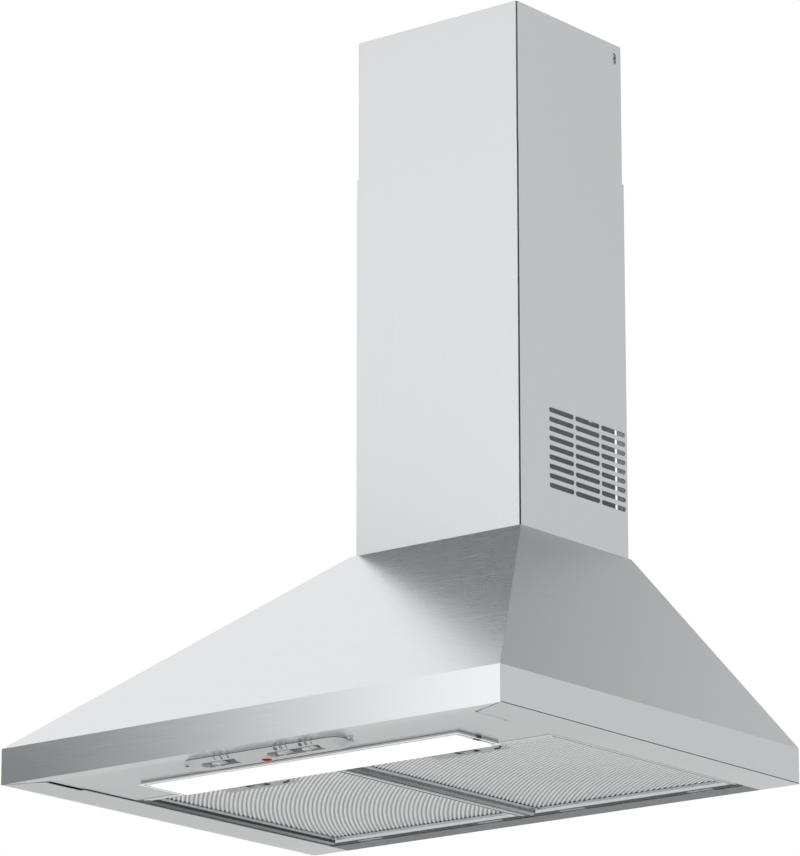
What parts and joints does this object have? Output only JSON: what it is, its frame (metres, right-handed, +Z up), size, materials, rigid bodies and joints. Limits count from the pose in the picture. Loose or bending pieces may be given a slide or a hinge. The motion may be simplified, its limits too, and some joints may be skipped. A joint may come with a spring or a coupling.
{
  "type": "chimney range hood",
  "caption": "Wall-mounted kitchen hood with a pyramid canopy, telescoping chimney covers, hinged grease filters, a lamp diffuser, slide controls and a centrifugal blower inside.",
  "frame": {"origin": "on the wall plane, midway along the canopy's rear bottom edge", "axes": "+X to the right of a user who faces the hood, +Y into the wall, +Z up"},
  "size_m": [0.598, 0.47, 0.7952],
  "materials": {
    "canopy_steel": "fine brushed stainless steel",
    "chimney_steel": "fine brushed stainless steel",
    "zinc_plate": "dull zinc-coated steel sheet",
    "zinc_screw": "zinc-plated steel",
    "shaft_steel": "ground steel",
    "black_plastic": "moulded, satin",
    "grey_plastic": "moulded, satin",
    "white_plastic": "moulded, satin",
    "pod_plastic": "moulded, light grey, semi-gloss",
    "latch_plastic": "moulded, mid grey",
    "red_lens": "clear red moulding",
    "lamp_diffuser": "opal white",
    "bulb_glass": "frosted",
    "reflector": "white enamel",
    "motor_metal": "dark lacquered laminations and cast bells",
    "rubber": "moulded",
    "filter_aluminium": "pressed sheet, satin",
    "mesh_aluminium": "woven layers"
  },
  "bodies": {
    "hood": {"canopy_front": "canopy_steel", "canopy_side_left": "canopy_steel", "canopy_side_right": "canopy_steel", "canopy_back": "zinc_plate", "canopy_deck": "zinc_plate", "deck_screws": "zinc_screw", "lower_chimney_cover": "chimney_steel", "cover_bracket_left": "zinc_plate", "cover_bracket_right": "zinc_plate", "outlet_collar": "black_plastic", "damper_pin": "shaft_steel", "cable_gland": "black_plastic", "blower_scroll": "zinc_plate", "blower_cover": "zinc_plate", "blower_screws": "zinc_screw", "motor_body": "motor_metal", "motor_bracket": "zinc_plate", "motor_mounts": "rubber", "motor_screws": "zinc_screw", "capacitor": "white_plastic", "capacitor_clip": "zinc_plate", "wiring_box": "black_plastic", "wiring_box_lid": "black_plastic", "terminal_block": "white_plastic", "control_pod": "pod_plastic", "switch_carrier": "zinc_plate", "speed_switch": "black_plastic", "fan_switch": "black_plastic", "lamp_switch": "black_plastic", "pilot_lens": "red_lens", "control_screws": "zinc_screw", "lamp_clip": "black_plastic", "lamp_housing": "reflector", "lamp_reflector": "reflector", "lamp_holder_left": "white_plastic", "lamp_holder_right": "white_plastic", "lamp_bulb_left": "bulb_glass", "lamp_bulb_right": "bulb_glass"},
    "upper_cover": {"upper_chimney_cover": "chimney_steel", "chimney_wall_bracket": "zinc_plate"},
    "filter_left": {"filter_frame_left": "filter_aluminium", "filter_mesh_left": "mesh_aluminium", "latch_plate_left": "filter_aluminium"},
    "filter_right": {"filter_frame_right": "filter_aluminium", "filter_mesh_right": "mesh_aluminium", "latch_plate_right": "filter_aluminium"},
    "latch_left": {"filter_latch_left": "latch_plastic"},
    "latch_right": {"filter_latch_right": "latch_plastic"},
    "lamp_lid": {"lamp_cover": "lamp_diffuser"},
    "speed_knob": {"speed_slider": "pod_plastic"},
    "fan_knob": {"fan_slider": "pod_plastic"},
    "lamp_knob": {"lamp_slider": "pod_plastic"},
    "rotor": {"impeller": "grey_plastic", "motor_shaft": "shaft_steel"},
    "damper_front": {"damper_flap_front": "black_plastic"},
    "damper_rear": {"damper_flap_rear": "black_plastic"}
  },
  "joints": [
    {"name": "upper_cover_slide", "type": "slide", "parent": "hood", "child": "upper_cover", "axis": [0, 0, 1], "range_m": [-0.145, 0.2]},
    {"name": "filter_left_swing", "type": "hinge", "parent": "hood", "child": "filter_left", "pos_m": [0, -0.0245, 0.00095], "axis": [1, 0, 0], "range_deg": [0, 75]},
    {"name": "filter_right_swing", "type": "hinge", "parent": "hood", "child": "filter_right", "pos_m": [0, -0.0245, 0.00095], "axis": [1, 0, 0], "range_deg": [0, 75]},
    {"name": "latch_left_pull", "type": "slide", "parent": "filter_left", "child": "latch_left", "axis": [0, 1, 0], "range_m": [0, 0.006], "stiffness_N_per_m": 400},
    {"name": "latch_right_pull", "type": "slide", "parent": "filter_right", "child": "latch_right", "axis": [0, 1, 0], "range_m": [0, 0.006], "stiffness_N_per_m": 400},
    {"name": "lamp_cover_tilt", "type": "hinge", "parent": "hood", "child": "lamp_lid", "pos_m": [-0.1927, -0.36135, 0.0019], "axis": [0, 1, 0], "range_deg": [0, 75]},
    {"name": "speed_slide", "type": "slide", "parent": "hood", "child": "speed_knob", "axis": [1, 0, 0], "range_m": [0, 0.0146]},
    {"name": "fan_slide", "type": "slide", "parent": "hood", "child": "fan_knob", "axis": [1, 0, 0], "range_m": [0, 0.0068]},
    {"name": "lamp_slide", "type": "slide", "parent": "hood", "child": "lamp_knob", "axis": [1, 0, 0], "range_m": [0, 0.0068]},
    {"name": "impeller_spin", "type": "hinge", "parent": "hood", "child": "rotor", "pos_m": [0, -0.14975, 0.135], "axis": [1, 0, 0], "continuous": true},
    {"name": "damper_front_swing", "type": "hinge", "parent": "hood", "child": "damper_front", "pos_m": [0, -0.08875, 0.2692], "axis": [-1, 0, 0], "range_deg": [0, 80]},
    {"name": "damper_rear_swing", "type": "hinge", "parent": "hood", "child": "damper_rear", "pos_m": [0, -0.08875, 0.2692], "axis": [1, 0, 0], "range_deg": [0, 80]}
  ]
}
